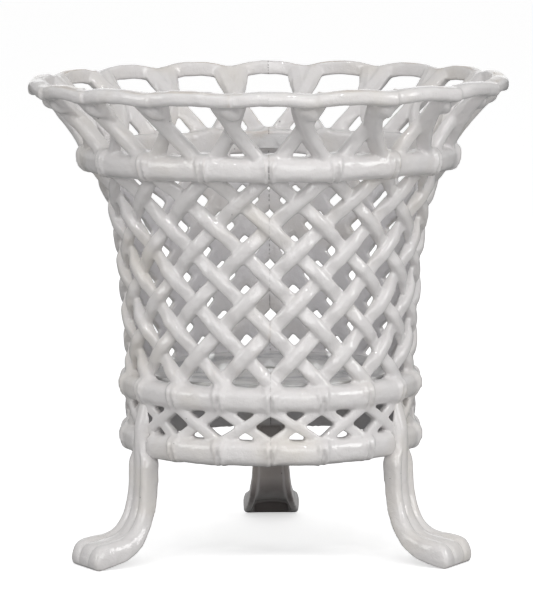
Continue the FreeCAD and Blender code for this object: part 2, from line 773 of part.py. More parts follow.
def leg_bolts(label, angle):
    """Two square-headed bolts that pass out through the lower ring into a leg."""
    bolts = new_body(label)
    face = size("inside_radius") - size("pad_depth")
    shank_sketch = new_sketch(bolts, "ShankCircle")
    draw_circle(shank_sketch, "bolt_radius", "bolt_spacing")
    shank = raise_pad(
        bolts, shank_sketch, "Shank", "sizes.leg_seat_radius - sizes.inside_radius"
        " + sizes.pad_depth + sizes.bolt_bite - sizes.hole_gap")
    head_sketch = new_sketch(bolts, "HeadSquare")
    draw_rectangle(head_sketch, "bolt_head_width", "bolt_head_width", "bolt_spacing")
    head = raise_pad(bolts, head_sketch, "Head", "sizes.bolt_head_height", inward=True)
    mirror_all(bolts, [shank, head])
    face_outward(bolts, face, angle, size("lower_ring_height"))


# Floor plate

floor_plate = new_body("floor_plate")
disc_sketch = new_sketch(floor_plate, "DiscCircle")
draw_circle(disc_sketch, "floor_radius")
disc = raise_pad(floor_plate, disc_sketch, "Disc", "sizes.floor_thickness")
drain_sketch = new_sketch(floor_plate, "DrainCircle")
draw_circle(drain_sketch, "drain_radius")
drain = floor_plate.newObject("PartDesign::Pocket", "Drain")
drain.Profile = drain_sketch
drain.Reversed = True
drain.setExpression("Length", "sizes.floor_thickness")
doc.recompute()
floor_plate.Placement.Base = Vector(0, 0, size("floor_top") - size("floor_thickness"))

# Fasteners and straps

for place, angle in LEG_ANGLES.items():
    leg_bolts(f"{place}_leg_bolts", angle)
joint_strap("upper_front_strap", UPPER_INSIDE, 0, size("upper_ring_height"))
joint_strap("upper_back_strap", UPPER_INSIDE, 180, size("upper_ring_height"))
joint_strap("lower_front_strap", size("inside_radius"), 0, size("lower_ring_height"))

# Check and export

doc.recompute()
for item in doc.Objects:
    if "Invalid" in item.State or "Error" in item.State:
        raise RuntimeError(f"{item.Label} failed: {item.State}")
os.makedirs("parts", exist_ok=True)
for node in nodes:
    if node.Shape.isNull() or not node.Shape.isValid():
        raise RuntimeError(f"{node.Label} has no valid shape")
    node.Shape.exportStep(f"parts/{node.Label}.step")
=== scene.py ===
"""White cast-iron lattice planter: two woven half castings, a loose floor plate, three legs."""
import math

import bmesh
import bpy
import numpy as np
from mathutils import Euler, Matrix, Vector


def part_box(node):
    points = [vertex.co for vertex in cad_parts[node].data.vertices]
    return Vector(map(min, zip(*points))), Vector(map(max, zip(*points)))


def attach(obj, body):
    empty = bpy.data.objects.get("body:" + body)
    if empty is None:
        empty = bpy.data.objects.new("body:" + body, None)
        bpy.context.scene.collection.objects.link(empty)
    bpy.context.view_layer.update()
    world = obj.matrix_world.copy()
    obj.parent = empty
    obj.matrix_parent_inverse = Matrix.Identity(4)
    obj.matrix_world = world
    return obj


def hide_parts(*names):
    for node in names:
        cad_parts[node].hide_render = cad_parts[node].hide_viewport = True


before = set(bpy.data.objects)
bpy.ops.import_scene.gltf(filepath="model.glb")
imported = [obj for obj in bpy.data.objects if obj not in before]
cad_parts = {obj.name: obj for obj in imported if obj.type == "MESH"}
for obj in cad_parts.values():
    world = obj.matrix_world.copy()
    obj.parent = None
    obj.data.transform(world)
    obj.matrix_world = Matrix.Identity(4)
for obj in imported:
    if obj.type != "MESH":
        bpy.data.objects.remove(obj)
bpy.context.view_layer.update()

# The cast basket
# Two half castings that meet at the front and the back. Each is one pour of iron in a sand
# mould: canes in high relief outside, smooth faces inside, with every crossing rounded by
# the moulder's wax and by coat upon coat of gloss paint.

MM = 0.001
UNITS = 18
PITCH = 360 / UNITS
ROWS = 8
WALL_TOP, WALL_FOOT = 351.0, 167.5
ROW_STEP = (WALL_TOP - WALL_FOOT) / ROWS
UPPER, MIDDLE, LOWER = 359.3, 152.8, 106.0
UPPER_RADIUS, UPPER_INSIDE = 158.5, 149.5
LOWER_RADIUS, LOWER_INSIDE = 123, 118.6
SEAM_OVERLAP = 1.6
VOXEL = 1.3 * MM
LEG_ANGLES = {"front_right_leg": 60, "front_left_leg": 300, "back_leg": 180}
RUST = (0.42, 0.33, 0.24)


def new_node(tree, kind, inputs, **settings):
    """New shader node. An input given as another node's output is linked, and any other is
    set as a constant on the socket."""
    node = tree.nodes.new("ShaderNode" + kind)
    for name, value in settings.items():
        setattr(node, name, value)
    for name, value in inputs.items():
        if isinstance(value, bpy.types.NodeSocket):
            tree.links.new(value, node.inputs[name])
        else:
            node.inputs[name].default_value = value
    return node


def multiply(first, second):
    """Product of two values."""
    return new_node(first.id_data, "Math", {0: first, 1: second}, operation="MULTIPLY").outputs[0]


def fade(value, low, high, bottom=0.0, top=1.0, curve="LINEAR"):
    """Goes from bottom to top while the value goes from low to high."""
    return new_node(value.id_data, "MapRange", {
        "Value": value, "From Min": low, "From Max": high, "To Min": bottom, "To Max": top},
        interpolation_type=curve).outputs["Result"]


def noise(place, scale, detail):
    """Cloudy noise from 0 to 1 at a place."""
    return new_node(place.id_data, "TexNoise", {
        "Vector": place, "Scale": scale, "Detail": detail}).outputs["Fac"]


def tint(before, over, amount, blend="MIX"):
    """Lays a colour over the one before, by an amount."""
    return new_node(amount.id_data, "Mix", {"Factor": amount, "A": before, "B": (*over, 1)},
                    data_type="RGBA", blend_type=blend).outputs["Result"]


def cover(material, over, amount, blend="MIX"):
    """Lays a colour over all that the paint has so far."""
    tree = material.node_tree
    base = tree.nodes["Principled BSDF"].inputs["Base Color"]
    tree.links.new(tint(base.links[0].from_socket, over, amount, blend), base)


def gloss_paint(name, colour, stain, roughness):
    """Principled paint. Its colour is the base, yellowed in patches by slow noise, darkened
    to a cool grey as painted shade where the surface is hollow, browned where an edge
    stands out, and dotted with pinholes at the middle of some Voronoi cells. Its bump is slow
    waves, fine grain and the pinholes, and the clear coat has ripples of its own."""
    material = bpy.data.materials.new(name)
    material.use_nodes = True
    tree = material.node_tree
    shader = tree.nodes["Principled BSDF"]
    shader.inputs["Roughness"].default_value = roughness
    shader.inputs["Specular IOR Level"].default_value = 0.4
    shader.inputs["Coat Weight"].default_value = 1.0
    shader.inputs["Coat Roughness"].default_value = 0.05
    place = new_node(tree, "TexCoord", {}).outputs["Object"]
    shape = new_node(tree, "NewGeometry", {}).outputs["Pointiness"]
    crack_colour, pinhole_colour = (0.12, 0.085, 0.06), (0.10, 0.095, 0.09)

    def soft(value, low, high):
        return fade(value, low, high, curve="SMOOTHSTEP")

    def shaded(*shares):
        return tuple(np.multiply(colour, shares))

    yellow = soft(noise(place, 14, 3), 0.45, 0.75)
    paint = tint((*colour, 1), shaded(0.97, 0.95, 0.90), yellow)
    # Painted shade: the colour goes a cool grey where the surface is hollow.
    hollow_shade = multiply(soft(shape, 0.49, 0.40), 0.55)
    paint = tint(paint, shaded(0.74, 0.74, 0.77), hollow_shade)
    worn = multiply(soft(shape, 0.515, 0.57), soft(noise(place, 22, 4), 0.52, 0.70))
    paint = tint(paint, stain, multiply(worn, 0.55))
    cracked = multiply(soft(shape, 0.42, 0.35), soft(noise(place, 45, 2), 0.54, 0.60))
    paint = tint(paint, crack_colour, multiply(cracked, 0.85))
    cells = new_node(tree, "TexVoronoi", {"Vector": place, "Scale": 95})
    chosen = new_node(tree, "SeparateColor", {"Color": cells.outputs["Color"]})
    pits = multiply(soft(cells.outputs["Distance"], 0.075, 0.05),
                    soft(chosen.outputs["Red"], 0.90, 0.92))
    paint = tint(paint, pinhole_colour, multiply(pits, 0.8))
    tree.links.new(paint, shader.inputs["Base Color"])

    height = new_node(tree, "Math", {0: noise(place, 900, 2), 1: 0.3, 2: noise(place, 140, 3)},
                      operation="MULTIPLY_ADD").outputs[0]
    sunk = new_node(tree, "Math", {0: height, 1: pits}, operation="SUBTRACT").outputs[0]
    ripples = noise(place, 330, 3)
    for socket, strength, distance, relief in (("Normal", 0.7, 1.4 * MM, sunk),
                                               ("Coat Normal", 1.0, 0.15 * MM, ripples)):
        bump = new_node(tree, "Bump", {
            "Strength": strength, "Distance": distance, "Height": relief})
        tree.links.new(bump.outputs["Normal"], shader.inputs[socket])
    return material


def shade_inner_faces(material, top, shade):
    """Greys the faces that look at the axis, below a height: painted shade on the inside. The
    share of grey follows the dot of the normal with the way out from the axis."""
    tree = material.node_tree
    coordinates = new_node(tree, "TexCoord", {}).outputs
    split = new_node(tree, "SeparateXYZ", {0: coordinates["Object"]}).outputs
    flat = new_node(tree, "CombineXYZ", {"X": split["X"], "Y": split["Y"]}).outputs[0]
    away = new_node(tree, "VectorMath", {0: flat}, operation="NORMALIZE").outputs[0]
    outward = new_node(tree, "VectorMath", {0: away, 1: coordinates["Normal"]},
                       operation="DOT_PRODUCT").outputs["Value"]
    inside = fade(outward, -0.3, -0.8)
    cover(material, shade, multiply(inside, fade(split["Z"], top, top - 0.02)), "MULTIPLY")


def stained_rim(material, top):
    """Tan stains on what faces up near the rim's top, in patches chosen by noise."""
    tan, depth = (0.50, 0.42, 0.33), 0.006
    tree = material.node_tree
    coordinates = new_node(tree, "TexCoord", {}).outputs
    normal = new_node(tree, "SeparateXYZ", {0: coordinates["Normal"]}).outputs
    split = new_node(tree, "SeparateXYZ", {0: coordinates["Object"]}).outputs
    patches = fade(noise(coordinates["Object"], 26, 4), 0.46, 0.60, top=0.6)
    upward = multiply(patches, fade(normal["Z"], 0.55, 0.85))
    cover(material, tan, multiply(upward, fade(split["Z"], top - depth, top)))


def broken_joint(material):
    """Dark cracks where the paint has split along the joint of the halves, the plane x = 0,
    in lengths chosen by noise. They are strong on the upper ring and behind, and weak above
    and below the ring in front."""
    crack, ring_foot, ring_top = (0.07, 0.06, 0.055), (0.344, 0.346), (0.362, 0.360)
    tree = material.node_tree
    place = new_node(tree, "TexCoord", {}).outputs["Object"]
    split = new_node(tree, "SeparateXYZ", {0: place}).outputs
    across = new_node(tree, "Math", {0: split["X"]}, operation="ABSOLUTE").outputs[0]
    near = fade(across, 0.0006, 0.0002)
    lengths = fade(noise(place, 420, 1), 0.47, 0.53)
    ring_up = fade(split["Z"], *ring_foot, bottom=0.22, top=0.7)
    front = multiply(ring_up, fade(split["Z"], *ring_top, bottom=0.2))
    behind = fade(split["Y"], 0.0, 0.01, top=0.75)
    strong = new_node(tree, "Math", {0: front, 1: behind}, operation="MAXIMUM").outputs[0]
    cover(material, crack, multiply(near, multiply(strong, lengths)))


iron_paint = gloss_paint("gloss_white_iron_paint", (0.72, 0.70, 0.695), RUST, 0.42)
# Painted shade: the faces inside the basket below the rim are greyed.
shade_inner_faces(iron_paint, 0.352, (0.90, 0.905, 0.93))
stained_rim(iron_paint, 0.428)
broken_joint(iron_paint)


def at(radius, angle, height):
    """Points at a radius and an angle from the front, turning to the right, in millimetres."""
    turn = np.radians(angle)
    return np.stack(np.broadcast_arrays(radius * np.sin(turn), -radius * np.cos(turn),
                                        height), axis=-1)


def unit(vectors):
    """The same directions at length one."""
    return vectors / np.linalg.norm(vectors, axis=-1, keepdims=True)


def cane(path, outward, half_width, crown, back, base=1.1, around=22):
    """Closed D-shaped cane carried along a path. Round its section the side offset is the
    half width times the cosine to the power 0.7, and the offset outward the crown height
    times the sine to the power 0.8. The inner half raises both to the power 0.3, so it is a
    flat face, broader by the base."""
    along = unit(np.gradient(path, axis=0))
    side = unit(np.cross(along, outward))
    out = np.cross(side, along)
    phase = np.linspace(0, 2 * np.pi, around, endpoint=False)
    inner = np.sin(phase) < -1e-6
    across = np.sign(np.cos(phase)) * np.abs(np.cos(phase)) ** np.where(inner, 0.3, 0.7)
    up = np.where(inner, 0, np.abs(np.sin(phase)) ** 0.8)
    down = np.where(inner, np.abs(np.sin(phase)) ** 0.3, 0)
    across = across * (1 + (base - 1) * down)
    width, crown, back = (np.broadcast_to(value, len(path))[:, None]
                          for value in (half_width, crown, back))
    rise = crown * up - back * down
    return (path[:, None] + side[:, None] * (width * across)[..., None]
            + out[:, None] * rise[..., None])


def smooth_row(table, count):
    """Catmull-Rom curve through the rows of a table, sampled evenly between them."""
    table = np.asarray(table, float)
    padded = np.vstack([2 * table[0] - table[1], table, 2 * table[-1] - table[-2]])
    step = np.linspace(0, len(table) - 1, count)
    low = np.minimum(step.astype(int), len(table) - 2)
    share = (step - low)[:, None]
    before, near, far, after = (padded[low + shift] for shift in range(4))
    return 0.5 * (2 * near + (far - before) * share
                  + (2 * before - 5 * near + 4 * far - after) * share ** 2
                  + (3 * near - before - 3 * far + after) * share ** 3)


def wall_radius(height):
    """Crown radius: the foot's radius, an even lean, and a flare as the fifth power."""
    foot, lean, flare = 131.3, 11.2, 19.3
    rise = np.clip((height - WALL_FOOT) / (WALL_TOP - WALL_FOOT), 0, 1)
    return foot + lean * rise + flare * rise ** 5


def sway(number, salt, size):
    """Hand-made unevenness of the piece with a number: the same on both sides of a seam."""
    return size * 1.4 * math.sin((number % UNITS + 1) * 12.99 + salt * 78.23)


def wall_canes(first, last):
    """Canes of the wall between two angles. The column of a cane changes by one with each
    row, and its crown follows the cosine of the row, squared off by a hyperbolic tangent, so
    that it passes over and under in turn."""
    half_width, crown, back, relief_size = 6.1, 5 - 2.1, 4.2, 2.3
    canes = []
    for hand in (1, -1):
        for start in range(-4 * UNITS, 4 * UNITS):
            column = 2 * start
            ends = sorted([(first / (PITCH / 2) - column) * hand,
                           (last / (PITCH / 2) - column) * hand])
            low, high = max(-0.6, ends[0]), min(ROWS + 0.65, ends[1])
            if high - low < 0.15:
                continue
            row = np.linspace(low, high, max(int((high - low) * 14), 5))
            height = WALL_TOP - ROW_STEP * row
            angle = (column + hand * row) * PITCH / 2
            relief = relief_size * hand * np.tanh(2 * np.cos(np.pi * row)) / np.tanh(2)
            middle = wall_radius(height) - 5
            width = half_width + sway(start, 3 + hand, 0.15) + 0.1 * relief
            canes.append(cane(at(middle, angle, height), at(1, angle, 0), width,
                              crown + relief + sway(start, hand, 0.3), back, base=1.22))
    return canes


def knot_lift(angle, radius):
    """Height of the bamboo knots: two narrow ridges beside a groove, on a broad swelling."""
    near = (angle + PITCH / 2) % PITCH - PITCH / 2
    run = np.radians(near) * radius
    ridges = np.exp(-((run - 2.7) / 1.5) ** 2) + np.exp(-((run + 2.7) / 1.5) ** 2)
    return 2.7 * ridges + 0.9 * np.exp(-(run / 11) ** 2) - 1.2 * np.exp(-(run / 1.1) ** 2)


def ring(first, last, radius, height, rise, bulge, inside, notches=(), swell=0.4):
    """Bamboo ring: a D-shaped section carried round the axis, with knots and leg seats. Its
    height wavers as two sines of the angle."""
    seat_half_width, seat_crown = 10.6, 3.0
    angle = np.arange(first, last + 0.4, 0.4)
    lift = knot_lift(angle, radius)
    crown = bulge + lift
    for notch in notches:
        reach = np.abs((angle - notch + 180) % 360 - 180)
        crown = np.where(np.radians(reach) * radius < seat_half_width, seat_crown, crown)
    wave = (0.35 * np.sin(np.radians(angle * 7.3 + radius))
            + 0.25 * np.sin(np.radians(angle * 17)))
    return cane(at(radius, angle, height + wave + 0.15 * lift), at(1, angle, 0),
                rise + swell * lift, crown, radius - inside, base=1, around=36)


def frieze_canes(first, last):
    """Straight canes that run from under a knot of the middle ring to the next knot below.
    The way along a cane is a share that runs on past both of its ends, inside the rings."""
    radius, tuck = 131.0, 8.4
    half_width, crown, back = 4.6, 1.2, 7.4
    canes = []
    share = np.linspace(-0.11, 1.11, 22)
    for knot in range(-2, 2 * UNITS):
        for hand in (1, -1):
            angles = knot * PITCH, (knot + hand) * PITCH
            if min(angles) < first - 1 or max(angles) > last + 1:
                continue
            top = at(radius, angles[0], MIDDLE - tuck)
            foot = at(radius, angles[1], LOWER + tuck)
            crossing = knot if hand > 0 else knot - 1
            over = 1 if (crossing % 2 == 0) == (hand > 0) else -1
            bump = 1.1 * over * np.sin(np.pi * share) ** 2
            outward = np.tile(at(1, sum(angles) / 2, 0), (len(share), 1))
            canes.append(cane(top + (foot - top) * share[:, None], outward, half_width,
                              crown + bump, back, base=0.95))
    return canes


def rim_arcs(first, last):
    """Arches of the rim, one over each window. Towards both ends the arch dips as a smooth
    step, deeper at the back than at the front; its right end stands out over the next arch
    and its left end tucks in behind."""
    radius, crest = 208.7, 423.0
    half_width, crown, back = 6.4, 6.6, 6.3
    arcs = []
    turn = np.linspace(-0.57, 0.57, 58)
    end = np.clip((np.abs(turn) - 0.26) / 0.31, 0, 1)
    low = np.clip((np.abs(turn) - 0.08) / 0.46, 0, 1)
    stand = np.where(turn > 0, 1.7, -1.6) * end
    for start in range(-2, 2 * UNITS):
        angle = (start + turn) * PITCH
        inside = (angle > first) & (angle < last)
        if inside.sum() < 4:
            continue
        front = math.cos(math.radians(start * PITCH))
        dip = (3.2 - 1.2 * front + sway(start, 5, 0.5)) * low ** 2 * (3 - 2 * low)
        rise = sway(start, 6, 0.4) * np.cos(turn * np.pi) - 1.2 * front
        path = at(radius + stand - 0.12 * dip, angle, crest - dip + rise)
        arcs.append(cane(path[inside], at(1, angle, 0)[inside],
                         half_width - 0.2 * end[inside], crown - 0.6 * end[inside], back,
                         base=1.08))
    return arcs


# Right leg of a loop, from inside the rim down into the ring: share of a unit turned,
# height, radius of the cane's middle, and stand-off at the crossing
LOOP_LEG = [
    (0.350, 422.0, 206.8, 0.0),
    (0.400, 412.0, 196.6, 1.0),
    (0.450, 404.5, 187.6, 2.1),
    (0.500, 398.0, 181.4, 2.8),
    (0.570, 389.5, 174.2, 2.7),
    (0.680, 380.0, 168.6, 1.8),
    (0.790, 371.5, 164.8, 0.8),
    (0.950, 358.0, 160.5, 0.0),
]


def border_legs(first, last):
    """Legs of the loops. Each window has one that falls to the right in front of its
    neighbour, and one that falls to the left behind it."""
    half_width, crowns, back = 6.3, {1: 6.0, -1: 5.0}, 5.8
    legs = []
    turn, height, radius, stand = smooth_row(LOOP_LEG, 40).T
    foot = np.clip((372 - height) / 14, 0, 1)
    for start in range(-2, 2 * UNITS):
        for hand in (1, -1):
            angle = (start + hand * (turn + sway(start, 7 + hand, 0.006))) * PITCH
            inside = (angle > first) & (angle < last)
            if inside.sum() < 4:
                continue
            width = half_width + sway(start, 9 + hand, 0.2)
            path = at(radius + hand * stand, angle, height)
            legs.append(cane(path[inside], at(1, angle, 0.3)[inside],
                             (width + 0.9 * foot)[inside], crowns[hand],
                             (back + hand * stand)[inside], base=1.15))
    return legs


# Inside of the flare under the rim: heights, and the radius of the posts' webs at each
WEB_HEIGHTS, WEB_RADII = [394, 398, 404.5, 412, 422], [178.0, 181.4, 187.6, 196.6, 206.8]


def post_webs(first, last):
    """Flat webs that fill the fork above each crossing, so that a post looks broad and
    smooth from inside. The width grows evenly on the way up to the rim."""
    foot, rise, crown, back = 394, 26, 1.0, 6.5
    webs = []
    share = np.linspace(0, 1, 14)
    height = foot + rise * share
    radius = np.interp(height, WEB_HEIGHTS, WEB_RADII)
    for post in range(-1, 2 * UNITS):
        middle = (post + 0.5) * PITCH
        if not first + 4 < middle < last - 4:
            continue
        angle = np.full(len(share), middle)
        webs.append(cane(at(radius, angle, height), at(np.ones(len(share)), angle, 0.3),
                         5.5 + 9 * share, crown, back, base=1.05))
    return webs


# Outside of the flare: heights, and the radius that the hooks follow at each
HOOK_HEIGHTS, HOOK_RADII = [398, 404.5, 412, 422], [182.6, 189.2, 197.8, 207.5]


def hooks(first, last):
    """Thick rounded ends at the upper right of each crossing, just under the rim: short
    fat canes whose section swells and closes as the root of a sine along them."""
    half_width, crown, back, stand = 6.8, 7.0, 4.5, 1.8
    start, fall = 412.2, 8.0
    lumps = []
    share = np.linspace(0.02, 0.98, 18)
    swell = np.sin(np.pi * np.clip(0.15 + 0.85 * share, 0, 1)) ** 0.42
    for post in range(-1, 2 * UNITS):
        middle = (post + 0.5) * PITCH
        if not first + 2.5 < middle < last - 7:
            continue
        reach = 1 + sway(post, 11, 0.08)
        angle = middle - 1.6 + 4.0 * share * reach
        height = start - fall * share - sway(post, 12, 0.6)
        radius = np.interp(height, HOOK_HEIGHTS, HOOK_RADII)
        lumps.append(cane(at(radius + stand, angle, height), at(1, angle, 0.3),
                          half_width * swell, crown * swell, back * swell, base=1))
    return lumps


def block(near, far, width, low, high, angle):
    """Box that faces outward, as a tube of four corners."""
    outline = np.array([(-width / 2, low), (width / 2, low),
                        (width / 2, high), (-width / 2, high)])
    turn = np.radians(angle)
    ahead = np.array([np.sin(turn), -np.cos(turn), 0])
    side = np.array([np.cos(turn), np.sin(turn), 0])
    face = side * outline[:, :1] + np.array([0, 0, 1]) * outline[:, 1:]
    return np.stack([face + ahead * near, face + ahead * far])


def lugs_and_pads(first):
    """Lugs for the floor plate, and pads inside the rings for the straps and the bolts."""
    lug_width, lug_foot, lug_top = 24, 154.5, 161.1
    strap_width, bolt_width, half_height = 50, 33, 9.5
    lugs = [block(109.6, 120.6, lug_width, lug_foot, lug_top, first + turn)
            for turn in (30, 90, 150)]
    pads = [block(146.5, 152.7, strap_width, UPPER - half_height, UPPER + half_height, angle)
            for angle in (0, 180, 360)]
    places = [(0, strap_width), (360, strap_width)]
    places += [(angle, bolt_width) for angle in LEG_ANGLES.values()]
    pads += [block(115.6, 121.8, width, LOWER - half_height, LOWER + half_height, angle)
             for angle, width in places]
    return lugs + pads


def grid_mesh(surfaces):
    """Mesh of closed tubes: a grid of quads each, with one polygon on both ends."""
    points, faces, start = [], [], 0
    for grid in surfaces:
        rows, around = grid.shape[:2]
        index = start + np.arange(rows * around).reshape(rows, around)
        ahead = np.roll(index, -1, axis=1)
        quads = np.stack([index[:-1], ahead[:-1], ahead[1:], index[1:]], axis=-1)
        faces += quads.reshape(-1, 4).tolist()
        faces += [index[0, ::-1].tolist(), index[-1].tolist()]
        points.append(grid.reshape(-1, 3))
        start += rows * around
    mesh = bpy.data.meshes.new("casting")
    mesh.from_pydata((np.concatenate(points) * MM).tolist(), [], faces)
    return mesh


def poured(name, surfaces, voxel, melts, keep=None):
    """One mesh from tubes that run into each other: a voxel skin welds them, smoothing melts
    the corners, and the faces are thinned to the share that is kept."""
    rough = bpy.data.objects.new(name + "_rough", grid_mesh(surfaces))
    bpy.context.scene.collection.objects.link(rough)
    skin = rough.modifiers.new("weld", "REMESH")
    skin.mode = "VOXEL"
    skin.voxel_size = voxel
    melt = rough.modifiers.new("melt", "SMOOTH")
    melt.factor = 0.5
    melt.iterations = melts
    if keep:
        rough.modifiers.new("thin", "DECIMATE").ratio = keep
    mesh = bpy.data.meshes.new_from_object(
        rough.evaluated_get(bpy.context.evaluated_depsgraph_get()))
    bpy.data.objects.remove(rough)
    return mesh


def half_casting(name, first, last):
    """Every part of a half, each carried on a little past the joint, poured as one."""
    low, high = first - SEAM_OVERLAP, last + SEAM_OVERLAP
    notches = list(LEG_ANGLES.values())
    surfaces = wall_canes(low, high) + frieze_canes(low - PITCH, high + PITCH)
    surfaces += rim_arcs(low, high) + border_legs(low, high)
    surfaces += post_webs(low, high) + hooks(low, high)
    surfaces.append(ring(low, high, UPPER_RADIUS, UPPER - 1.6, 11.1, 12.8, UPPER_INSIDE,
                         swell=0.75))
    surfaces.append(ring(low, high, LOWER_RADIUS, MIDDLE, 11.0, 12.2, LOWER_INSIDE))
    surfaces.append(ring(low, high, LOWER_RADIUS, LOWER, 11.6, 12.2, LOWER_INSIDE, notches))
    surfaces += lugs_and_pads(first)
    return poured(name, surfaces, VOXEL, 4, 0.31)


def cut_at_seam(mesh, side):
    """Cuts the half at the joint and closes the flat faces that meet the other half. The
    closing can double a sliver, which validating takes out."""
    work = bmesh.new()
    work.from_mesh(mesh)
    bmesh.ops.bisect_plane(work, geom=work.verts[:] + work.edges[:] + work.faces[:],
                           plane_co=(side * 0.01 * MM, 0, 0), plane_no=(-side, 0, 0),
                           clear_outer=True)
    border = [edge for edge in work.edges if edge.is_boundary]
    bmesh.ops.holes_fill(work, edges=border, sides=0)
    work.to_mesh(mesh)
    work.free()
    mesh.validate()


def of_vertices(mesh, name, kind):
    """Three numbers for each vertex: its place or its normal."""
    values = np.empty(len(mesh.vertices) * 3, kind)
    mesh.vertices.foreach_get(name, values)
    return values.reshape(-1, 3)


def uneven(points, size, seed, slow=45, quick=190):
    """Waves all over a casting: a sum of sines along random directions, whose turns in
    radians a metre lie between slow and quick."""
    waves = 14
    local = np.random.default_rng(seed)
    push = np.zeros(len(points))
    for _ in range(waves):
        direction = local.normal(0, 1, 3)
        direction *= local.uniform(slow, quick) / np.linalg.norm(direction)
        push += np.sin(points @ direction + local.uniform(0, 2 * np.pi))
    return push * size / waves ** 0.5


def placed(name, mesh, paint):
    """Object with smooth faces and its paint."""
    mesh.polygons.foreach_set("use_smooth", np.ones(len(mesh.polygons), bool))
    piece = bpy.data.objects.new(name, mesh)
    bpy.context.scene.collection.objects.link(piece)
    piece.data.materials.append(paint)
    return piece


def finish_casting(mesh, name, side, seed):
    """Cuts the half and pushes its points along their normals by the waves, which fade out
    over the last 4 mm towards the joint."""
    cut_at_seam(mesh, side)
    points = of_vertices(mesh, "co", float)
    normals = of_vertices(mesh, "normal", np.float32)
    free = np.clip(np.abs(points[:, 0]) / (4 * MM), 0, 1)
    push = uneven(points, 0.26 * MM, seed) + uneven(points, 0.16 * MM, seed + 40, 260, 620)
    points += normals * (free * push)[:, None]
    mesh.vertices.foreach_set("co", points.ravel())
    casting = placed(name, mesh, iron_paint)
    mesh.set_sharp_from_angle(angle=math.radians(60))
    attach(casting, "basket")
    return casting


right_casting = finish_casting(half_casting("right_casting", 0, 180), "right_casting", 1, 3)
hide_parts("right_shell")
left_casting = finish_casting(half_casting("left_casting", 180, 360), "left_casting", -1, 4)
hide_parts("left_shell")

# The legs
# Three iron legs, cast open at the back like a gutter: two round lobes with a groove and a
# fine rib between them run down the front and out over the foot, which stands on its toe.

# Side view of a leg: radius and height of the crown, radius and height of the open back,
# and width, from the tip of the tongue over the frieze down to the toe
LEG_SIDE = [
    (133.0, 142.0, 129.8, 142.0, 14.0),
    (135.6, 133.0, 129.6, 133.0, 18.0),
    (138.0, 123.0, 128.6, 123.0, 20.0),
    (139.3, 111.0, 126.4, 111.0, 20.5),
    (139.3, 101.5, 126.2, 101.5, 21.0),
    (139.2, 96.5, 125.0, 96.5, 27.0),
    (139.2, 91.0, 123.8, 91.0, 32.0),
    (139.5, 76.0, 124.4, 78.0, 32.5),
    (141.2, 58.0, 126.0, 60.0, 34.0),
    (145.0, 42.5, 129.5, 43.5, 36.0),
    (151.5, 32.0, 136.5, 28.5, 40.0),
    (161.0, 26.6, 146.5, 16.0, 45.5),
    (174.0, 24.4, 159.5, 8.0, 51.0),
    (184.0, 22.2, 171.0, 4.2, 53.0),
    (190.0, 17.5, 180.5, 1.8, 52.0),
    (192.8, 9.0, 188.0, 0.0, 49.0),
    (192.6, 2.5, 190.6, 0.4, 44.0),
]
# Section of a leg: share of the half width and share of the depth from crown to back. The
# first 18 points are its outside, from edge to edge, and the rest its inside
LEG_SECTION = [
    (-0.97, 1.00), (-1.00, 0.72), (-1.00, 0.40), (-0.95, 0.15), (-0.81, 0.02), (-0.62, 0.00),
    (-0.47, 0.07), (-0.37, 0.21), (-0.27, 0.08), (0.00, 0.03), (0.27, 0.08), (0.37, 0.21),
    (0.47, 0.07), (0.62, 0.00), (0.81, 0.02), (0.95, 0.15), (1.00, 0.40), (1.00, 0.72),
    (0.97, 1.00), (0.74, 1.00), (0.66, 0.80), (0.60, 0.56), (0.30, 0.48), (0.00, 0.46),
    (-0.30, 0.48), (-0.60, 0.56), (-0.66, 0.80), (-0.74, 1.00)]
OUTSIDE = 18

leg_paint = gloss_paint("gloss_white_leg_paint", (0.71, 0.69, 0.685), RUST, 0.42)
# Painted shade: the legs' faces towards the axis are darkened, and darker still in the foot's
# hollow near the ground.
shade_inner_faces(leg_paint, 0.2, (0.60, 0.565, 0.55))
shade_inner_faces(leg_paint, 0.042, (0.34, 0.33, 0.33))


def leg_surface():
    """Section shares laid out between the crown line and the back line of the side view,
    both smoothed along the leg. The gutter is filled above the ring's underside and in the
    toe, and over the ring the lobes give way to one rounded face."""
    side = smooth_row(LEG_SIDE, 120)
    section = np.array(LEG_SECTION)
    across, depth = section[:, 0], section[:, 1]
    place = np.arange(len(section))
    gutter = ((np.abs(across) < 0.75) & (place > OUTSIDE))[None]
    solid = np.clip((side[:, 1] - 92) / 3, 0, 1)[:, None]
    toe = np.clip((np.linspace(0, 1, len(side))[:, None] - 0.86) / 0.07, 0, 1)
    filled = depth + (1 - depth) * np.maximum(solid, toe)
    depth = np.where(gutter, filled, depth[None])
    flat = np.clip((side[:, 1] - 88) / 30, 0, 1)[:, None]
    rounded = 0.9 * np.abs(across[None]) ** 3.2
    depth = np.where((place < OUTSIDE)[None], depth * (1 - flat) + rounded * flat, depth)
    radius = side[:, :1] + (side[:, 2:3] - side[:, :1]) * depth
    height = side[:, 1:2] + (side[:, 3:4] - side[:, 1:2]) * depth
    offset = across[None] * side[:, 4:5] / 2
    return np.stack([offset, -radius, height], axis=-1)


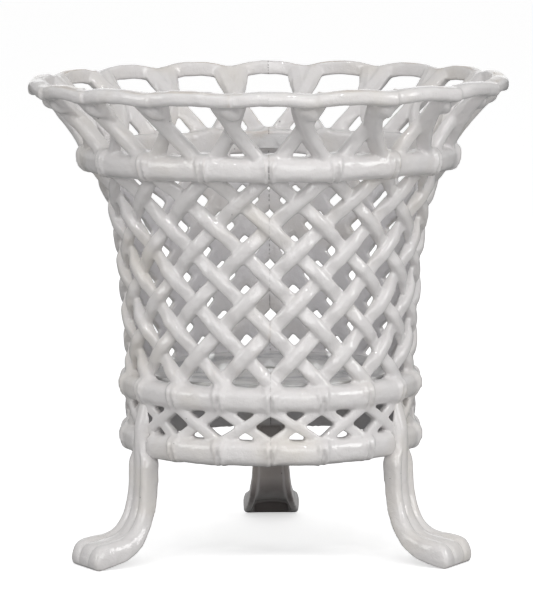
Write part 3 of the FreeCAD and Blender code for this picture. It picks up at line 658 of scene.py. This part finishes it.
def make_leg(node, angle, seed):
    """Leg poured at the front, pushed by the waves, which fade out over the last 8 mm above
    the ground, and then turned to its place."""
    mesh = poured(node, [leg_surface()], VOXEL, 3)
    points = of_vertices(mesh, "co", float)
    normals = of_vertices(mesh, "normal", np.float32)
    free = np.clip(points[:, 2] / (8 * MM), 0, 1)
    push = uneven(points, 0.3 * MM, seed) + uneven(points, 0.10 * MM, seed + 40, 260, 560)
    points += normals * (free * push)[:, None]
    turn = math.radians(angle)
    points[:, :2] = points[:, :2] @ np.array([[math.cos(turn), math.sin(turn)],
                                              [-math.sin(turn), math.cos(turn)]])
    mesh.vertices.foreach_set("co", points.ravel())
    leg = placed(node + "_casting", mesh, leg_paint)
    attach(leg, "basket")
    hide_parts(node)


for number, (node, angle) in enumerate(LEG_ANGLES.items()):
    make_leg(node, angle, 20 + number)

# Bolts, straps and screws
# Square-headed bolts hold the legs from inside, and small flat straps with two screws each
# hold the halves together. All of them were painted over with the rest.

fastener_paint = gloss_paint("painted_over_fasteners", (0.69, 0.68, 0.68), RUST, 0.42)
for name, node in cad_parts.items():
    if "bolts" in name or "strap" in name:
        node.data.materials.clear()
        node.data.materials.append(fastener_paint)

# The floor plate
# A loose iron disc that lies on the lugs inside, with a drain hole in the middle. Its paint
# is brushed and streaked, and has a dark band near the edge.

plate_paint = gloss_paint("brushed_floor_paint", (0.68, 0.675, 0.665), (0.30, 0.30, 0.25), 0.5)


def streaks_and_edge_band(material, edge):
    """Brush streaks across the plate, and a ring of dark blue-grey at a distance from the
    edge, broken up by fine noise."""
    grey_streaks, white_streaks, edge_band_grey = (0.42, 0.43, 0.45), (0.80, 0.79, 0.77), (0.17, 0.19, 0.20)
    tree = material.node_tree
    place = new_node(tree, "TexCoord", {}).outputs["Object"]

    def patches(scale, stretch, low, high, top):
        mapped = new_node(tree, "Mapping", {"Vector": place, "Scale": stretch}).outputs[0]
        return fade(noise(mapped, scale, 5), low, high, top=top)

    cover(material, grey_streaks, patches(9, (1, 10, 1), 0.45, 0.75, 0.3))
    cover(material, white_streaks, patches(14, (1, 12, 1), 0.58, 0.66, 0.5))
    flat = new_node(tree, "VectorMath", {0: place, 1: (1, 1, 0)}, operation="MULTIPLY")
    distance = new_node(tree, "VectorMath", {0: flat.outputs[0]}, operation="LENGTH")
    distance = distance.outputs["Value"]
    band = multiply(fade(distance, edge - 0.055, edge - 0.043),
                    fade(distance, edge - 0.016, edge - 0.026))
    cover(material, edge_band_grey, multiply(band, patches(30, (1, 1, 1), 0.36, 0.54, 0.85)))


streaks_and_edge_band(plate_paint, 0.1156)


def plate_surface():
    """Rings of points from the drain out over the top, round the edge and back under. The
    top rises and falls by slow waves."""
    drain, drain_edge, rings = 7.0 * MM, 7.6 * MM, 26
    low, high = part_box("floor_plate")
    outer = (high.x - low.x) / 2
    radii = np.array([drain, drain_edge, *np.linspace(0.012, outer - 0.0012, rings),
                      outer - 0.0004, outer, outer, outer - 0.0004, outer - 0.0012,
                      drain_edge, drain])
    top, foot = high.z, low.z
    heights = np.array([top - 0.0005, top, *np.full(rings, top), top - 0.0003, top - 0.001,
                        foot + 0.001, foot + 0.0003, foot, foot, foot + 0.0005])[:, None]
    angle = np.radians(np.arange(0, 360, 2.5))
    x = radii[:, None] * np.sin(angle)
    y = -radii[:, None] * np.cos(angle)
    wave = 0.00025 * (1 + np.sin(x * 70 + 1) * np.sin(y * 55))
    z = heights - wave * (heights > top - 0.002)
    return np.stack([x, y, z], axis=-1)


grid = plate_surface()
rows, around = grid.shape[:2]
index = np.arange(rows * around).reshape(rows, around)
ahead, below = np.roll(index, -1, axis=1), np.roll(index, -1, axis=0)
quads = np.stack([index, below, np.roll(below, -1, axis=1), ahead], axis=-1).reshape(-1, 4)
mesh = bpy.data.meshes.new("floor_disc")
mesh.from_pydata(grid.reshape(-1, 3).tolist(), [], quads.tolist())
floor_disc = placed("floor_disc", mesh, plate_paint)
mesh.set_sharp_from_angle(angle=math.radians(40))
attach(floor_disc, "floor")
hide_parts("floor_plate")

# Studio
# A white sweep, a large soft light in front, weaker ones at both sides and behind, and a row
# of small lamps above that glint in the wavy paint.

SWEEP = 30
sweep_paint = bpy.data.materials.new("white_sweep")
sweep_paint.use_nodes = True
tree = sweep_paint.node_tree
seen = new_node(tree, "LightPath", {}).outputs["Is Camera Ray"]
colour = new_node(tree, "Mix", {"Factor": seen, "A": (0.32, 0.32, 0.32, 1),
                                "B": (0.9, 0.9, 0.9, 1)}, data_type="RGBA")
shader = tree.nodes["Principled BSDF"]
shader.inputs["Roughness"].default_value = 0.9
shader.inputs["Emission Color"].default_value = (1, 1, 1, 1)
tree.links.new(colour.outputs["Result"], shader.inputs["Base Color"])
tree.links.new(multiply(seen, 0.55), shader.inputs["Emission Strength"])
mesh = bpy.data.meshes.new("sweep")
mesh.from_pydata([(-SWEEP, -SWEEP, 0), (SWEEP, -SWEEP, 0), (SWEEP, SWEEP, 0),
                  (-SWEEP, SWEEP, 0)], [], [(0, 1, 2, 3)])
ground = bpy.data.objects.new("sweep", mesh)
ground.data.materials.append(sweep_paint)
bpy.context.scene.collection.objects.link(ground)

world = bpy.data.worlds.new("studio")
bpy.context.scene.world = world
world.use_nodes = True
tree = world.node_tree
seen = new_node(tree, "LightPath", {}).outputs["Is Camera Ray"]
background = tree.nodes["Background"]
background.inputs["Color"].default_value = (1, 1, 1, 1)
tree.links.new(fade(seen, 0.0, 1.0, bottom=0.48), background.inputs["Strength"])

AIM = (0, 0, 0.25)
WIDE, TALL, SMALL = (2.2, 1.2), (0.8, 1.2), (0.14, 0.14)


def soft_light(name, place, size, power):
    """Rectangular lamp that points at the middle of the basket."""
    lamp = bpy.data.lights.new(name, "AREA")
    lamp.shape = "RECTANGLE"
    lamp.size, lamp.size_y = size
    lamp.energy = power
    holder = bpy.data.objects.new(name, lamp)
    holder.location = place
    holder.rotation_euler = (Vector(AIM) - Vector(place)).to_track_quat("-Z", "Y").to_euler()
    bpy.context.scene.collection.objects.link(holder)


soft_light("front_light", (0.4, -2.9, 0.75), WIDE, 22)
for across in (-1.7, -0.95, -0.2, 0.55, 1.3):
    soft_light("glint_light", (across, -2.0, 2.15), SMALL, 4.6)
soft_light("left_light", (-2.4, -1.2, 1.0), TALL, 10)
soft_light("right_light", (2.4, -1.2, 1.0), TALL, 17)
soft_light("back_light", (0, 2.9, 1.0), WIDE, 5)

FOCAL_PIXELS, PHOTO_HEIGHT, SENSOR = 3982, 605, 36
TILT, ROLL = 6.685, 0.0069
camera_data = bpy.data.cameras.new("camera")
camera = bpy.data.objects.new("camera", camera_data)
bpy.context.scene.collection.objects.link(camera)
bpy.context.scene.camera = camera
camera_data.sensor_width = SENSOR
camera_data.lens = SENSOR * FOCAL_PIXELS / PHOTO_HEIGHT
camera.location = (-0.0001, -3.57, 0.6426)
camera.rotation_euler = Euler((math.radians(90 - TILT), ROLL, 0), "XYZ")
camera_data.clip_start = 0.1
bpy.context.scene.view_settings.view_transform = "Standard"
